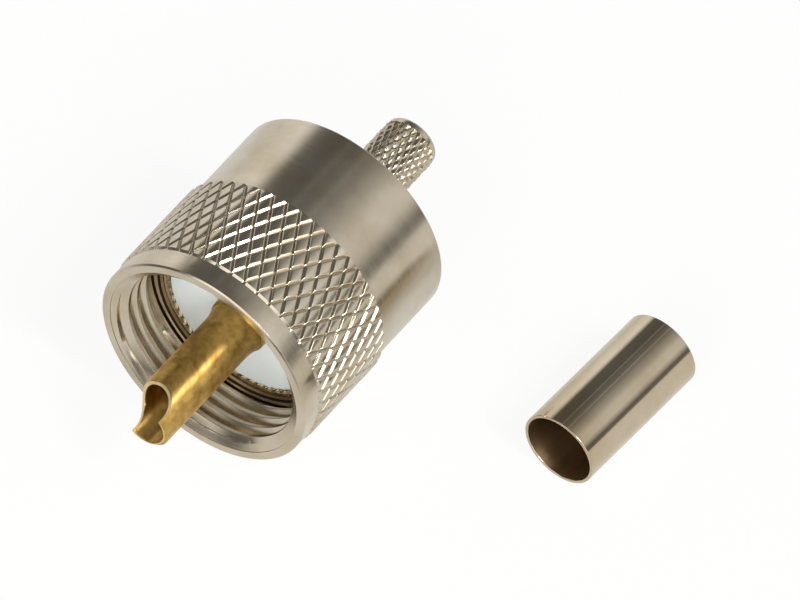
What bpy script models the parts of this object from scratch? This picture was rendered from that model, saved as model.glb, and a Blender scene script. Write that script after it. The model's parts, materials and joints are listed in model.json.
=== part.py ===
"""UHF crimp plug with its loose crimp ferrule, lying on a bench.

The plug lies on its coupling nut with its axis along Y, pin towards -Y and cable end towards +Y.
Stations along the plug are measured from the front face of the coupling nut, positive towards
the cable. The model's origin is on the bench, under the middle of the whole set.
"""
import math

import bmesh
import bpy
from mathutils import Matrix, Vector

MM = 0.001

# Coupling nut, inside: a 5/8 inch thread of 24 turns an inch, an undercut and a rear bore
THREAD_MAJOR_R = 7.94 * MM
THREAD_PITCH = 25.4 / 24 * MM
THREAD_DEPTH = 0.54 * THREAD_PITCH
THREAD_ROOT_FLAT = THREAD_PITCH / 8
THREAD_FLANK = math.radians(30)
THREAD_MINOR_R = THREAD_MAJOR_R - THREAD_DEPTH
THREAD_PHASE = 0.18 * MM
MOUTH_WIDEN = 0.28 * MM
MOUTH_DEPTH = 0.62 * MM
UNDERCUT_START = 4.20 * MM
UNDERCUT_LENGTH = 0.75 * MM
UNDERCUT_WIDEN = 0.06 * MM
INNER_BORE_R = THREAD_MINOR_R + 0.18 * MM
REAR_BORE_LENGTH = 5.00 * MM
RUNNING_CLEARANCE = 0.15 * MM
BORE_BEVEL = 0.20 * MM

# Coupling nut, outside
NUT_LENGTH = 17.15 * MM
THREAD_WALL = 1.16 * MM
NUT_R = THREAD_MAJOR_R + THREAD_WALL
LAND_RELIEF = 0.15 * MM
LAND_LENGTH = 1.85 * MM
LAND_BEVEL = 0.12 * MM
NECK_LENGTH = 0.10 * MM
NECK_DEPTH = 0.10 * MM
KNURL_LENGTH = 7.55 * MM
KNURL_DEPTH = 0.24 * MM
KNURL_STARTS = 48
KNURL_ROWS = 7
KNURL_FLAT = 0.72
SKIRT_RELIEF = 0.32 * MM
SKIRT_ROUNDING = 0.15 * MM
ROUNDING_STEPS = 3

# Body: toothed flange, barrel and knurled crimp stem, turned from one bar
RIM_GAP = 0.15 * MM
RIM_TIP = UNDERCUT_START + UNDERCUT_LENGTH + RIM_GAP
RIM_TOOTH_DEPTH = 0.25 * MM
RIM_TEETH = 60
RIM_WIDTH = 0.50 * MM
FLANGE_CLEARANCE = 0.17 * MM
FLANGE_R = THREAD_MINOR_R - FLANGE_CLEARANCE
FLANGE_LENGTH = 3.10 * MM
RECESS_R = FLANGE_R - RIM_WIDTH
RECESS_DEPTH = 2.30 * MM
BARREL_R = 5.60 * MM
BARREL_WALL = 1.40 * MM
BARREL_PROUD = 0.45 * MM
BARREL_END = NUT_LENGTH + BARREL_PROUD
BARREL_END_WALL = 1.60 * MM
CAVITY_R = BARREL_R - BARREL_WALL
STEM_R = 2.20 * MM
STEM_LENGTH = 8.30 * MM
STEM_END = BARREL_END + STEM_LENGTH
STEM_NECK = 0.70 * MM
STEM_LAND = 0.85 * MM
STEM_LAND_RELIEF = 0.08 * MM
STEM_KNURL_DEPTH = 0.17 * MM
STEM_STARTS = 24
STEM_ROWS = 11
STEM_WALL = 0.65 * MM
STEM_ROUNDING = 0.25 * MM

# Insulator
PRESS_CLEARANCE = 0.10 * MM
INSULATOR_SETBACK = 0.05 * MM
BOSS_LENGTH = 4.60 * MM
DISC_BACK = RIM_TIP + RIM_TOOTH_DEPTH + RECESS_DEPTH - PRESS_CLEARANCE
BOSS_END = DISC_BACK + BOSS_LENGTH

# Centre pin
PIN_REACH = 12.22 * MM
PIN_TIP = RIM_TIP - PIN_REACH
PIN_R = 2.00 * MM
PIN_WALL = 0.36 * MM
PIN_NOSE = 0.22 * MM
CUP_DEPTH = 6.50 * MM
CONDUCTOR_BORE_R = 0.75 * MM
COLLAR_HEIGHT = 0.30 * MM
COLLAR_PROUD = 1.05 * MM
COLLAR_SEAT = 0.25 * MM
COLLAR_GROOVE = 0.14 * MM
FLARE_HEIGHT = 0.18 * MM
FLARE_LENGTH = 1.10 * MM
FLARE_STEPS = 3
SHANK_STEP = 0.40 * MM
SHANK_PROUD = 1.45 * MM
SCOOP_LENGTH = 2.60 * MM
SCOOP_LEVEL = 0.45 * MM
SCOOP_BELOW_AXIS = 0.15 * MM
SCOOP_ROLL = math.radians(48)
SCOOP_STEPS = 8

# Crimp ferrule, lying beside the plug
BRAID_ROOM = 0.60 * MM
FERRULE_WALL = 0.25 * MM
FERRULE_R = STEM_R + BRAID_ROOM + FERRULE_WALL
FERRULE_LENGTH = 12.10 * MM
FERRULE_BEVEL = 0.06 * MM
FERRULE_GAP = 10.31 * MM
FERRULE_ASIDE = NUT_R + FERRULE_GAP + FERRULE_R
FERRULE_BEHIND = 12.29 * MM
FERRULE_YAW = math.radians(2.8)

NUT_SEGMENTS = KNURL_STARTS
BODY_SEGMENTS = 2 * STEM_STARTS
FERRULE_SEGMENTS = 48
INSULATOR_SEGMENTS = 40
PIN_SEGMENTS = 32

# Where the set lies: the knurl and the ferrule touch the bench at z = 0
FERRULE_REACH = (FERRULE_ASIDE + FERRULE_LENGTH * math.sin(FERRULE_YAW)
                 + FERRULE_R * math.cos(FERRULE_YAW))
AXIS_X = (NUT_R - FERRULE_REACH) / 2
FACE_Y = -(PIN_TIP + STEM_END) / 2
PLUG_PLACE = Vector((AXIS_X, FACE_Y, NUT_R))
FERRULE_PLACE = Vector((AXIS_X + FERRULE_ASIDE, FACE_Y + FERRULE_BEHIND, FERRULE_R))


def clear_scene():
    """Remove every object that the file opened with."""
    for item in list(bpy.data.objects):
        bpy.data.objects.remove(item, do_unlink=True)


def make_material(name, colour, roughness, metallic):
    """Return a Principled material of one colour."""
    material = bpy.data.materials.new(name)
    material.use_nodes = True
    shader = material.node_tree.nodes["Principled BSDF"]
    shader.inputs["Base Color"].default_value = (*colour, 1.0)
    shader.inputs["Roughness"].default_value = roughness
    shader.inputs["Metallic"].default_value = metallic
    return material


def place_object(name, mesh, place, material=None, yaw=0.0):
    """Link a mesh as a named object whose origin lies on its own axis."""
    item = bpy.data.objects.new(name, mesh)
    item.location = place
    item.rotation_euler = (0.0, 0.0, yaw)
    bpy.context.collection.objects.link(item)
    if material:
        mesh.materials.append(material)
        mesh.shade_smooth()
        mesh.set_sharp_from_angle(angle=math.radians(30))
    return item


def place_cutter(name, mesh, place, target):
    """Link a mesh as a hidden cutter and subtract it from the target object."""
    cutter = place_object(name, mesh, place)
    cutter.hide_render = True
    cutter.display_type = "WIRE"
    cut = target.modifiers.new(name, "BOOLEAN")
    cut.operation = "DIFFERENCE"
    cut.solver = "EXACT"
    cut.object = cutter
    return cutter


def face_outwards(bm):
    """Turn all faces of a closed mesh to point out of it."""
    bmesh.ops.recalc_face_normals(bm, faces=bm.faces[:])
    if bm.calc_volume(signed=True) < 0:
        bmesh.ops.reverse_faces(bm, faces=bm.faces[:])


def rounded_corner(station, radius, rounding, steps):
    """Return profile points round an outer corner that faces +Y, from its side to its end face."""
    points = []
    for step in range(steps + 1):
        turn = math.pi / 2 * step / steps
        points.append((station - rounding * (1 - math.sin(turn)),
                       radius - rounding * (1 - math.cos(turn))))
    return points


class Turning:
    """A piece with a through bore, built ring by ring along its profile and then closed."""

    def __init__(self, segments):
        self.bm = bmesh.new()
        self.count = segments
        self.phase = 0.0
        self.first = None
        self.last = None

    def make_ring(self, station, radius):
        """Return a new ring of vertices round the Y axis."""
        verts = []
        for index in range(self.count):
            angle = 2 * math.pi * (index + self.phase) / self.count
            spot = (radius * math.cos(angle), station, radius * math.sin(angle))
            verts.append(self.bm.verts.new(spot))
        return verts

    def join(self, ring, other):
        """Skin the space between two rings: quads where their counts match, else triangles.

        Where the counts differ, the ring that lags behind in angle takes the next step.
        """
        count, others = len(ring), len(other)
        if count == others:
            for index in range(count):
                after = (index + 1) % count
                self.bm.faces.new((ring[index], ring[after], other[after], other[index]))
            return
        near, far = 0, 0
        while near < count or far < others:
            start, end = ring[near % count], other[far % others]
            if far == others or (near < count and (near + 1) * others <= (far + 1) * count):
                near += 1
                self.bm.faces.new((start, ring[near % count], end))
            else:
                far += 1
                self.bm.faces.new((start, other[far % others], end))

    def add_ring(self, ring):
        """Carry the skin on from the last ring to this one."""
        if self.last is None:
            self.first = ring
        else:
            self.join(self.last, ring)
        self.last = ring

    def turn(self, *profile):
        """Carry the skin along profile points, each a station and a radius."""
        for station, radius in profile:
            self.add_ring(self.make_ring(station, radius))

    def change_count(self, segments):
        """Use another number of segments from the next ring on."""
        self.count = segments
        self.phase = 0.0

    def knurl(self, start, length, root_r, crest_r, rows, flat):
        """Carry the skin over a diamond knurl.

        The grooves cross at the ring vertices, every other ring turned by half a step. Each
        diamond stands on four crossings, and its top is the diamond shrunk to the share flat.
        The first and last rows are half diamonds with upright end faces.
        """
        step = 2 * math.pi / self.count
        rise = length / rows
        start_phase = self.phase
        crossings = []
        for row in range(rows + 1):
            self.phase = start_phase + 0.5 * (row % 2)
            crossings.append(self.make_ring(start + row * rise, root_r))
        self.join(self.last, crossings[0])
        for row in range(rows + 1):
            offset = row % 2
            for index in range(self.count):
                middle = (start_phase + index + 0.5 + 0.5 * offset) * step
                station = start + row * rise
                corners = [(crossings[row][index], -0.5 * step, 0.0)]
                if row > 0:
                    below = crossings[row - 1][(index + offset) % self.count]
                    corners.append((below, 0.0, -rise))
                corners.append((crossings[row][(index + 1) % self.count], 0.5 * step, 0.0))
                if row < rows:
                    above = crossings[row + 1][(index + offset) % self.count]
                    corners.append((above, 0.0, rise))
                self.diamond(corners, middle, station, crest_r, flat)
        self.phase = start_phase + 0.5 * (rows % 2)
        self.last = crossings[rows]

    def diamond(self, corners, middle, station, crest_r, flat):
        """Raise one diamond, or half of one, on its corner crossings."""
        tops = []
        for _, turn, shift in corners:
            if flat > 0 or not tops:
                angle = middle + flat * turn
                spot = (crest_r * math.cos(angle), station + flat * shift, crest_r * math.sin(angle))
                tops.append(self.bm.verts.new(spot))
        for index, (vert, _, _) in enumerate(corners):
            after = (index + 1) % len(corners)
            if flat > 0:
                self.bm.faces.new((vert, corners[after][0], tops[after], tops[index]))
            else:
                self.bm.faces.new((vert, corners[after][0], tops[0]))
        if flat > 0:
            self.bm.faces.new(tops)

    def tooth_ring(self, root, tip, radius):
        """Carry the skin to a ring whose vertices lie at the teeth's roots and tips in turn."""
        verts = self.make_ring(root, radius)
        for vert in verts[1::2]:
            vert.co.y = tip
        self.add_ring(verts)

    def finish(self, name):
        """Close the skin on itself and return it as a mesh with its faces pointing out."""
        self.join(self.last, self.first)
        face_outwards(self.bm)
        mesh = bpy.data.meshes.new(name)
        self.bm.to_mesh(mesh)
        self.bm.free()
        return mesh


def thread_cutter():
    """Return the helical bar that cuts the nut's right-hand thread.

    Its section is a groove with flanks at the thread angle, carried a little inside the minor
    diameter. It starts in front of the nut and ends inside the undercut, so the thread runs out
    at both ends. The phase is the station that a groove's middle passes on the +X side.
    """
    overcut = THREAD_ROOT_FLAT
    inner_r = THREAD_MINOR_R - overcut
    outer_half = THREAD_ROOT_FLAT / 2
    inner_half = outer_half + (THREAD_MAJOR_R - inner_r) * math.tan(THREAD_FLANK)
    section = ((inner_r, -inner_half), (THREAD_MAJOR_R, -outer_half),
               (THREAD_MAJOR_R, outer_half), (inner_r, inner_half))
    front = THREAD_PHASE - THREAD_PITCH
    back = UNDERCUT_START + outer_half + THREAD_DEPTH * math.tan(THREAD_FLANK)
    steps = math.ceil((back - front) / THREAD_PITCH * NUT_SEGMENTS)
    bm = bmesh.new()
    previous = None
    for step in range(steps + 1):
        angle = -2 * math.pi * step / NUT_SEGMENTS
        station = front + THREAD_PITCH * step / NUT_SEGMENTS
        verts = [bm.verts.new((radius * math.cos(angle), station + shift, radius * math.sin(angle)))
                 for radius, shift in section]
        if previous is None:
            bm.faces.new(verts)
        else:
            for index in range(len(verts)):
                after = (index + 1) % len(verts)
                bm.faces.new((previous[index], previous[after], verts[after], verts[index]))
        previous = verts
    bm.faces.new(previous)
    face_outwards(bm)
    mesh = bpy.data.meshes.new("thread_cutter")
    bm.to_mesh(mesh)
    bm.free()
    return mesh


def coupling_nut(material):
    """Make the coupling nut: plain land, diamond knurl, smooth skirt, thread and rear bore."""
    land_r = NUT_R - LAND_RELIEF
    root_r = NUT_R - KNURL_DEPTH
    skirt_r = NUT_R - SKIRT_RELIEF
    neck_r = root_r - NECK_DEPTH
    knurl_start = LAND_LENGTH + NECK_LENGTH
    knurl_end = knurl_start + KNURL_LENGTH
    bore_r = BARREL_R + RUNNING_CLEARANCE
    shoulder = NUT_LENGTH - REAR_BORE_LENGTH
    undercut_r = THREAD_MAJOR_R + UNDERCUT_WIDEN
    undercut_end = UNDERCUT_START + UNDERCUT_LENGTH
    mouth_r = THREAD_MAJOR_R + MOUTH_WIDEN
    nut = Turning(NUT_SEGMENTS)
    nut.turn((0.0, mouth_r), (0.0, land_r - LAND_BEVEL), (LAND_BEVEL, land_r),
             (LAND_LENGTH, land_r), (LAND_LENGTH, neck_r), (knurl_start, neck_r))
    nut.knurl(knurl_start, KNURL_LENGTH, root_r, NUT_R, KNURL_ROWS, KNURL_FLAT)
    nut.turn((knurl_end, skirt_r))
    nut.turn(*rounded_corner(NUT_LENGTH, skirt_r, SKIRT_ROUNDING, ROUNDING_STEPS))
    nut.turn((NUT_LENGTH, bore_r + BORE_BEVEL), (NUT_LENGTH - BORE_BEVEL, bore_r),
             (shoulder, bore_r), (shoulder, INNER_BORE_R), (undercut_end, INNER_BORE_R),
             (undercut_end, undercut_r), (UNDERCUT_START, undercut_r),
             (UNDERCUT_START, THREAD_MINOR_R), (MOUTH_DEPTH, THREAD_MINOR_R))
    item = place_object("coupling_nut", nut.finish("coupling_nut"), PLUG_PLACE, material)
    place_cutter("thread_cutter", thread_cutter(), PLUG_PLACE, item)
    return item


def connector_body(material):
    """Make the body: toothed flange round the insulator's recess, barrel and crimp stem."""
    rim_root = RIM_TIP + RIM_TOOTH_DEPTH
    flange_back = RIM_TIP + FLANGE_LENGTH
    recess_floor = rim_root + RECESS_DEPTH
    knurl_start = BARREL_END + STEM_NECK
    knurl_end = STEM_END - STEM_LAND
    root_r = STEM_R - STEM_KNURL_DEPTH
    land_r = STEM_R - STEM_LAND_RELIEF
    bore_r = STEM_R - STEM_WALL
    body = Turning(2 * RIM_TEETH)
    body.tooth_ring(rim_root, RIM_TIP, RECESS_R)
    body.tooth_ring(rim_root, RIM_TIP, FLANGE_R)
    body.turn((flange_back, FLANGE_R))
    body.change_count(BODY_SEGMENTS)
    body.turn((flange_back, BARREL_R), (BARREL_END - BORE_BEVEL, BARREL_R),
              (BARREL_END, BARREL_R - BORE_BEVEL))
    body.change_count(STEM_STARTS)
    body.turn((BARREL_END, root_r))
    body.knurl(knurl_start, knurl_end - knurl_start, root_r, STEM_R, STEM_ROWS, 0.0)
    body.turn((knurl_end, land_r))
    body.turn(*rounded_corner(STEM_END, land_r, STEM_ROUNDING, ROUNDING_STEPS))
    body.turn((STEM_END, bore_r), (BARREL_END - BARREL_END_WALL, bore_r))
    body.change_count(BODY_SEGMENTS)
    body.turn((BARREL_END - BARREL_END_WALL, CAVITY_R), (recess_floor, CAVITY_R))
    body.change_count(2 * RIM_TEETH)
    body.turn((recess_floor, RECESS_R))
    return place_object("connector_body", body.finish("connector_body"), PLUG_PLACE, material)


def insulator(material):
    """Make the insulator: a disc with a seat for the pin's collar and a boss down the barrel."""
    front = RIM_TIP + INSULATOR_SETBACK
    seat = front + COLLAR_SEAT
    seat_r = PIN_R + COLLAR_HEIGHT + PRESS_CLEARANCE
    disc_r = RECESS_R - PRESS_CLEARANCE
    boss_r = CAVITY_R - PRESS_CLEARANCE
    bore_r = PIN_R - SHANK_STEP + PRESS_CLEARANCE
    disc = Turning(INSULATOR_SEGMENTS)
    disc.turn((seat, bore_r), (seat, seat_r), (front, seat_r), (front, disc_r),
              (DISC_BACK, disc_r), (DISC_BACK, boss_r), (BOSS_END, boss_r), (BOSS_END, bore_r))
    return place_object("insulator", disc.finish("insulator"), PLUG_PLACE, material)


def scoop_cutter():
    """Return the block that opens the pin's tip as a solder cup.

    Its underside is level over the tip, a little below the axis, and then rises as a quarter of
    an ellipse to the top of the pin. The block is rolled about the axis, as the pin lies turned.
    """
    half_width = 2 * PIN_R
    top = 2 * PIN_R
    front = PIN_TIP - PIN_R
    level_end = PIN_TIP + SCOOP_LEVEL
    rise = PIN_R + SCOOP_BELOW_AXIS
    reach = SCOOP_LENGTH - SCOOP_LEVEL
    outline = [(front, -SCOOP_BELOW_AXIS)]
    for step in range(SCOOP_STEPS + 1):
        turn = math.pi / 2 * step / SCOOP_STEPS
        outline.append((level_end + reach * math.sin(turn), PIN_R - rise * math.cos(turn)))
    outline += [(level_end + reach, top), (front, top)]
    bm = bmesh.new()
    near = [bm.verts.new((-half_width, station, height)) for station, height in outline]
    swept = bmesh.ops.extrude_face_region(bm, geom=[bm.faces.new(near)])
    far = [part for part in swept["geom"] if isinstance(part, bmesh.types.BMVert)]
    bmesh.ops.translate(bm, verts=far, vec=Vector((2 * half_width, 0, 0)))
    bmesh.ops.rotate(bm, verts=bm.verts[:], matrix=Matrix.Rotation(-SCOOP_ROLL, 3, "Y"))
    face_outwards(bm)
    mesh = bpy.data.meshes.new("scoop_cutter")
    bm.to_mesh(mesh)
    bm.free()
    return mesh


def center_pin(material):
    """Make the centre pin: a hollow pin with a scooped tip, a grooved collar and a rear shank."""
    cup_r = PIN_R - PIN_WALL
    cup_floor = PIN_TIP + CUP_DEPTH
    shank_r = PIN_R - SHANK_STEP
    shank_end = BOSS_END + SHANK_PROUD
    collar_r = PIN_R + COLLAR_HEIGHT
    insulator_front = RIM_TIP + INSULATOR_SETBACK
    collar_front = insulator_front - COLLAR_PROUD
    collar_back = insulator_front + COLLAR_SEAT - PRESS_CLEARANCE
    flare_end = collar_front - COLLAR_GROOVE
    flare = []
    for step in range(FLARE_STEPS + 1):
        share = step / FLARE_STEPS
        flare.append((flare_end - FLARE_LENGTH * (1 - share), PIN_R + FLARE_HEIGHT * share ** 2))
    pin = Turning(PIN_SEGMENTS)
    pin.turn((PIN_TIP, cup_r), (PIN_TIP, PIN_R - PIN_NOSE), (PIN_TIP + PIN_NOSE, PIN_R), *flare,
             (flare_end, PIN_R), (collar_front, PIN_R), (collar_front, collar_r),
             (collar_back, collar_r), (collar_back, shank_r), (shank_end, shank_r),
             (shank_end, CONDUCTOR_BORE_R), (cup_floor, CONDUCTOR_BORE_R), (cup_floor, cup_r))
    item = place_object("center_pin", pin.finish("center_pin"), PLUG_PLACE, material)
    place_cutter("scoop_cutter", scoop_cutter(), PLUG_PLACE, item)
    return item


def crimp_ferrule(material):
    """Make the crimp ferrule: a thin drawn tube with broken edges."""
    bore_r = FERRULE_R - FERRULE_WALL
    end = FERRULE_LENGTH
    tube = Turning(FERRULE_SEGMENTS)
    tube.turn((0.0, bore_r + FERRULE_BEVEL), (0.0, FERRULE_R - FERRULE_BEVEL),
              (FERRULE_BEVEL, FERRULE_R), (end - FERRULE_BEVEL, FERRULE_R),
              (end, FERRULE_R - FERRULE_BEVEL), (end, bore_r + FERRULE_BEVEL),
              (end - FERRULE_BEVEL, bore_r), (FERRULE_BEVEL, bore_r))
    mesh = tube.finish("crimp_ferrule")
    return place_object("crimp_ferrule", mesh, FERRULE_PLACE, material, -FERRULE_YAW)


def main():
    """Build the five pieces of the set."""
    clear_scene()
    nickel = make_material("nickel_plate", (0.58, 0.52, 0.43), 0.28, 1.0)
    polished = make_material("polished_nickel", (0.56, 0.49, 0.40), 0.16, 1.0)
    gold = make_material("gold_plate", (0.62, 0.38, 0.12), 0.34, 1.0)
    ptfe = make_material("ptfe", (0.74, 0.76, 0.74), 0.45, 0.0)
    coupling_nut(nickel)
    connector_body(nickel)
    insulator(ptfe)
    center_pin(gold)
    crimp_ferrule(polished)


main()
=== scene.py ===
"""The looks of a crimp coaxial plug and of the crimp ferrule that lies beside it.

Every piece of the plug was turned in a lathe, so each is made here as one fine skin in cylindrical
coordinates round its own axis: an angle from +X towards +Z, a station along the axis towards the
cable end, and a radius. The axes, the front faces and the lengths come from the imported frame.
Lengths are in metres, and MM turns millimetres into them.
"""

import json
import logging
import math
from dataclasses import dataclass
from enum import Enum
from typing import Any, Sequence

import bpy
import numpy as np
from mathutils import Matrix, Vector

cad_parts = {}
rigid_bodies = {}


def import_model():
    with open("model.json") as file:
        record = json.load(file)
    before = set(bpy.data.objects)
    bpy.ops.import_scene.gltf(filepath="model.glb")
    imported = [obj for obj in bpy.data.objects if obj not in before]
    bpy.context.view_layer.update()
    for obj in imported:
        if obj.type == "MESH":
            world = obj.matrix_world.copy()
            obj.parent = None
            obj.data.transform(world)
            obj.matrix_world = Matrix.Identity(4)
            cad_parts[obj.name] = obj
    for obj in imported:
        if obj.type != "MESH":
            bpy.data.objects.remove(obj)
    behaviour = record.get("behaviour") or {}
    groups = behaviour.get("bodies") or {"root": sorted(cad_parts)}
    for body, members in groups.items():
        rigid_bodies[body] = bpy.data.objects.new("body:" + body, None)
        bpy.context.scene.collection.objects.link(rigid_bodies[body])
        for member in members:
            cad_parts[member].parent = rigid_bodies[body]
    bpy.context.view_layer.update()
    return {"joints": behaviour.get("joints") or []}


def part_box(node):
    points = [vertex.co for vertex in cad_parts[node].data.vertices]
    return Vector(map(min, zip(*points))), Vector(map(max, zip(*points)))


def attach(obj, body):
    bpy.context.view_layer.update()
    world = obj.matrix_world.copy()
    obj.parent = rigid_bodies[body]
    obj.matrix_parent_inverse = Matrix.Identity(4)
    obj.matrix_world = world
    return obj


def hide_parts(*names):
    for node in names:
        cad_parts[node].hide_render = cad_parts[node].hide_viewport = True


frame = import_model()

MM = 0.001
FULL_TURN = 2 * math.pi
LOG = logging.getLogger("plug_looks")

# A corner of a profile: its station, its radius and its rounding.
Corner = tuple[float, float, float]
# A spot of a profile: its station and its radius.
Spot = tuple[float, float]
# A stop of the light tent: its angle in degrees and its brightness.
Stop = tuple[float, float]


class Grain(Enum):
    """The way in which the tool marks run on a metal surface."""

    ROUND = "round"
    ALONG = "along"


@dataclass(frozen=True)
class TurningAxis:
    """The axis that a piece was turned on, and the station 0 on it.

    Attributes:
        origin: The point of station 0, in the frame.
        yaw: The turn of the axis from +Y towards +X, in radians.
    """

    origin: tuple[float, float, float]
    yaw: float = 0.0

    def place(self, angles: np.ndarray, stations: np.ndarray, radii: np.ndarray) -> np.ndarray:
        """Turn cylindrical coordinates into places in the frame.

        The point lies radius times the cosine and sine of its angle away from the axis, sideways
        and up, and its station along it. The whole is then turned by the yaw about the upright.

        Args:
            angles: Angles from +X towards +Z, in radians.
            stations: Distances along the axis.
            radii: Distances from the axis.

        Returns:
            An array of points, one row each.
        """
        aside = radii * np.cos(angles)
        height = radii * np.sin(angles)
        x = aside * math.cos(self.yaw) + stations * math.sin(self.yaw)
        y = stations * math.cos(self.yaw) - aside * math.sin(self.yaw)
        return np.column_stack((x, y, height)) + np.array(self.origin)


@dataclass(frozen=True)
class Ring:
    """A closed loop of points on a skin.

    Attributes:
        ids: The points' numbers.
        angles: Their angles, which rise round the loop.
    """

    ids: np.ndarray
    angles: np.ndarray

    def in_order(self) -> "Ring":
        """Start the loop at its first point past +X.

        Each angle is brought into the first turn, and the points are sorted by it.

        Returns:
            A ring of the same points.
        """
        angles = self.angles % FULL_TURN
        order = np.argsort(angles, kind="stable")
        return Ring(self.ids[order], angles[order])


def even_angles(count: int) -> np.ndarray:
    """Return that many angles, evenly spaced round the axis from 0."""
    return np.arange(count) * FULL_TURN / count


def fillet(corners: Sequence[Corner], steps: int = 4) -> list[Spot]:
    """Round the corners of an open profile.

    Each corner's arc touches both of its sides. Its ends lie the rounding divided by the tangent
    of half the corner's angle away from the corner, and its centre lies on the bisector.

    Args:
        corners: Corners as station, radius and rounding. The first and last stay sharp.
        steps: Number of chords in each arc.

    Returns:
        The profile's points, each a station and a radius.
    """
    spots: list[Spot] = [corners[0][:2]]
    for before, corner, after in zip(corners, corners[1:], corners[2:]):
        middle = complex(*corner[:2])
        rounding = corner[2]
        if rounding == 0:
            spots.append(corner[:2])
            continue
        back = complex(*before[:2]) - middle
        ahead = complex(*after[:2]) - middle
        back /= abs(back)
        ahead /= abs(ahead)
        half = math.acos(max(-1.0, min(1.0, (back * ahead.conjugate()).real))) / 2
        centre = middle + (back + ahead) / abs(back + ahead) * rounding / math.sin(half)
        start = middle + back * rounding / math.tan(half) - centre
        end = middle + ahead * rounding / math.tan(half) - centre
        sweep = np.angle(end / start)
        arc = centre + start * np.exp(1j * sweep * np.linspace(0, 1, steps + 1))
        spots += [(float(spot.real), float(spot.imag)) for spot in arc]
    spots.append(corners[-1][:2])
    return spots


@dataclass(frozen=True)
class GrooveForm:
    """The section of a knurl's groove, measured in shares of the spacing between grooves.

    Attributes:
        shares: Distances from the middle of the groove, from 0 to its edge or to a half.
        depths: Depth at each of them, as a share of the full depth.
    """

    shares: tuple[float, ...]
    depths: tuple[float, ...]

    def lines(self) -> np.ndarray:
        """Lay the lattice lines between one groove's middle and the next's.

        They are the shares, and 1 less each of the shares.

        Returns:
            The lines' places in rising order, from 0 to less than 1.
        """
        rising = np.array(self.shares)
        falling = 1 - rising[::-1]
        return np.unique(np.round(np.concatenate((rising, falling)), 9))[:-1]

    def depth(self, places: np.ndarray) -> np.ndarray:
        """Return the depth at places that count grooves, by the distance to the nearest one."""
        return np.interp(np.abs(places - np.round(places)), self.shares, self.depths)


@dataclass(frozen=True)
class Knurl:
    """A diamond knurl, rolled by two sets of slanted grooves that cross.

    Attributes:
        start: Station of its front edge.
        length: Its length along the axis.
        ramp: Length of the slope that leads up to its front edge.
        crest_r: Radius over the diamonds.
        depth: Depth of the grooves.
        starts: Number of grooves each way.
        rows: Number of half diamonds along its length.
        groove: The section of one groove.
    """

    start: float
    length: float
    ramp: float
    crest_r: float
    depth: float
    starts: int
    rows: int
    groove: GrooveForm


@dataclass(frozen=True)
class Thread:
    """An inner right-hand thread with a coned mouth, that runs out into an undercut.

    Attributes:
        major_r: Radius at the roots.
        pitch: Advance in one turn.
        depth: Height of a thread.
        phase: Station that the middle of a groove passes on the +X side.
        mouth_r: Radius of the mouth at the front face.
        lip: Length of the plain lip inside the front face.
        mouth_depth: Station where the cone behind the lip meets the crests.
        end: Station where the undercut begins.
        undercut_length: Length of the undercut.
        undercut_r: Radius of the undercut.
        relief: How far the bore behind the undercut is wider than the crests, or tighter.
        flank: Angle between a flank and the plane across the axis.
        root_flat: Width of the flat at a root.
        rounding: Rounding of the crests' edges, and of the mouth's inner edge.
        run_in: Stations between which the groove reaches its full depth.
        run_out: Length of the slope down into the undercut.
    """

    major_r: float = 7.94 * MM
    pitch: float = 25.4 / 24 * MM
    depth: float = 0.54 * 25.4 / 24 * MM
    phase: float = 0.18 * MM
    mouth_r: float = 8.22 * MM
    lip: float = 0.08 * MM
    mouth_depth: float = 0.66 * MM
    end: float = 4.17 * MM
    undercut_length: float = 0.62 * MM
    undercut_r: float = 7.96 * MM
    relief: float = -0.14 * MM
    flank: float = math.radians(30)
    root_flat: float = 25.4 / 24 / 8 * MM
    rounding: float = 0.07 * MM
    run_in: tuple[float, float] = (0.00 * MM, 0.75 * MM)
    run_out: float = 0.08 * MM

    def crest_r(self) -> float:
        """Return the radius at the crests."""
        return self.major_r - self.depth

    def section(self) -> tuple[np.ndarray, np.ndarray]:
        """Work out the section across one pitch, from a groove's middle to the next's.

        Half a groove is a flat root, a flank and half of a flat crest, with rounded corners. The
        other half mirrors it.

        Returns:
            Places as shares of the pitch, and the depth of the cut at each.
        """
        half = self.root_flat / 2
        flank_end = half + self.depth * math.tan(self.flank)
        spots = np.array(fillet([(0.0, self.depth, 0.0), (half, self.depth, self.rounding / 2),
                                 (flank_end, 0.0, self.rounding), (self.pitch / 2, 0.0, 0.0)], 3))
        shares = np.concatenate((spots[:, 0], self.pitch - spots[-2:0:-1, 0])) / self.pitch
        return shares, np.concatenate((spots[:, 1], spots[-2:0:-1, 1]))

    def radii(self, stations: np.ndarray, cut: np.ndarray) -> np.ndarray:
        """Work out the radii where the groove's full depth would be the cut.

        The cut grows to its full depth along the run-in, by the square of the share times three
        less twice the share. The mouth's cone narrows evenly down to the crests, another widens
        from them to the undercut, and the widest of the three holds. It is rounded over by the
        mean of their sum and the root of their squared difference plus the squared rounding.

        Args:
            stations: Distances along the axis.
            cut: Depth of the full groove at each.

        Returns:
            The radius at each.
        """
        share = np.clip((stations - self.run_in[0]) / (self.run_in[1] - self.run_in[0]), 0, 1)
        threaded = self.crest_r() + cut * share ** 2 * (3 - 2 * share)
        slope = (self.mouth_r - self.crest_r()) / (self.mouth_depth - self.lip)
        cone = self.mouth_r - (stations - self.lip) * slope
        steepness = (self.undercut_r - self.crest_r()) / self.run_out
        cone = np.maximum(cone, self.undercut_r - (self.end - stations) * steepness)
        blend = self.rounding / 2 * np.clip(stations / self.mouth_depth, 0, 1)
        return (threaded + cone + np.hypot(threaded - cone, blend)) / 2


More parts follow.
